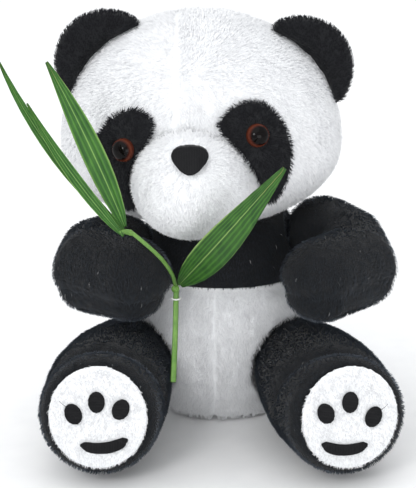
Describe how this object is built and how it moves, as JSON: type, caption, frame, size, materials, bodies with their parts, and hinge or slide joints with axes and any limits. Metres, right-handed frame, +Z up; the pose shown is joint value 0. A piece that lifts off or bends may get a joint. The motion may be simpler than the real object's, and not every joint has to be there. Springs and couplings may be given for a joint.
{
  "type": "plush panda",
  "caption": "Seated stuffed toy panda with sewn head, ears, arms and legs, plastic eyes, embroidered soles and an artificial bamboo sprig tied to its right paw.",
  "frame": {"origin": "centre of the flat seat panel under the body", "axes": "+Z up, -Y the way the panda faces, +X to its own left"},
  "size_m": [0.2279, 0.2051, 0.2516],
  "materials": {
    "white_plush": "short white pile plush",
    "black_plush": "short charcoal black pile plush",
    "stuffing": "loose polyester fibre",
    "eye_plastic": "polished dark brown and black",
    "washer_plastic": "moulded natural white",
    "embroidery": "black satin stitch",
    "stem": "moulded light green",
    "leaf": "moulded green, ribbed along the blade",
    "thread": "white cotton thread",
    "label": "plain white satin tape"
  },
  "bodies": {
    "root": {"belly_skin": "white_plush", "chest_skin": "black_plush", "base_panel": "white_plush", "body_stuffing": "stuffing", "tail": "white_plush", "care_label": "label"},
    "head": {"head_skin": "white_plush", "head_stuffing": "stuffing", "muzzle_skin": "white_plush", "muzzle_stuffing": "stuffing", "nose": "embroidery", "eye_patch_left": "black_plush", "eye_left": "eye_plastic", "eye_washer_left": "washer_plastic", "eye_patch_right": "black_plush", "eye_right": "eye_plastic", "eye_washer_right": "washer_plastic"},
    "ear_left": {"ear_left": "black_plush"},
    "ear_right": {"ear_right": "black_plush"},
    "sprig": {"sprig_stem": "stem", "sprig_twig": "stem", "leaf_broad": "leaf", "leaf_tall": "leaf", "leaf_outer": "leaf", "leaf_inner": "leaf"},
    "arm_right": {"arm_skin_right": "black_plush", "arm_stuffing_right": "stuffing", "tie_thread": "thread"},
    "arm_left": {"arm_skin_left": "black_plush", "arm_stuffing_left": "stuffing"},
    "leg_left": {"leg_skin_left": "black_plush", "leg_stuffing_left": "stuffing", "sole_left": "white_plush", "heel_pad_left": "embroidery", "toe_pad_left_1": "embroidery", "toe_pad_left_2": "embroidery", "toe_pad_left_3": "embroidery"},
    "leg_right": {"leg_skin_right": "black_plush", "leg_stuffing_right": "stuffing", "sole_right": "white_plush", "heel_pad_right": "embroidery", "toe_pad_right_1": "embroidery", "toe_pad_right_2": "embroidery", "toe_pad_right_3": "embroidery"}
  },
  "joints": [
    {"name": "neck_turn", "type": "hinge", "parent": "root", "child": "head", "pos_m": [-0.012, -0.012, 0.12], "axis": [0, 0, 1], "range_deg": [-8, 8], "stiffness_Nm_per_rad": 0.3},
    {"name": "ear_left_fold", "type": "hinge", "parent": "head", "child": "ear_left", "pos_m": [0.04415, -0.02, 0.21486], "axis": [0.6293, 0, -0.7771], "range_deg": [-12, 12], "stiffness_Nm_per_rad": 0.04},
    {"name": "ear_right_fold", "type": "hinge", "parent": "head", "child": "ear_right", "pos_m": [-0.06484, -0.02, 0.2184], "axis": [0.682, 0, 0.7314], "range_deg": [-12, 12], "stiffness_Nm_per_rad": 0.04},
    {"name": "arm_left_swing", "type": "hinge", "parent": "root", "child": "arm_left", "pos_m": [0.062, -0.013, 0.1125], "axis": [0, 0, 1], "range_deg": [0, 30], "stiffness_Nm_per_rad": 0.1},
    {"name": "arm_right_raise", "type": "hinge", "parent": "root", "child": "arm_right", "pos_m": [-0.062, -0.013, 0.1015], "axis": [-1, 0, 0], "range_deg": [0, 8], "stiffness_Nm_per_rad": 0.1},
    {"name": "sprig_tilt", "type": "hinge", "parent": "arm_right", "child": "sprig", "pos_m": [-0.02621, -0.08681, 0.1045], "axis": [0, 1, 0], "range_deg": [-5, 5], "stiffness_Nm_per_rad": 0.1},
    {"name": "leg_left_spread", "type": "hinge", "parent": "root", "child": "leg_left", "pos_m": [0.048, -0.032, 0.037], "axis": [0, 0, 1], "range_deg": [0, 20], "stiffness_Nm_per_rad": 0.2},
    {"name": "leg_right_spread", "type": "hinge", "parent": "root", "child": "leg_right", "pos_m": [-0.058, -0.032, 0.037], "axis": [0, 0, -1], "range_deg": [0, 20], "stiffness_Nm_per_rad": 0.2}
  ]
}
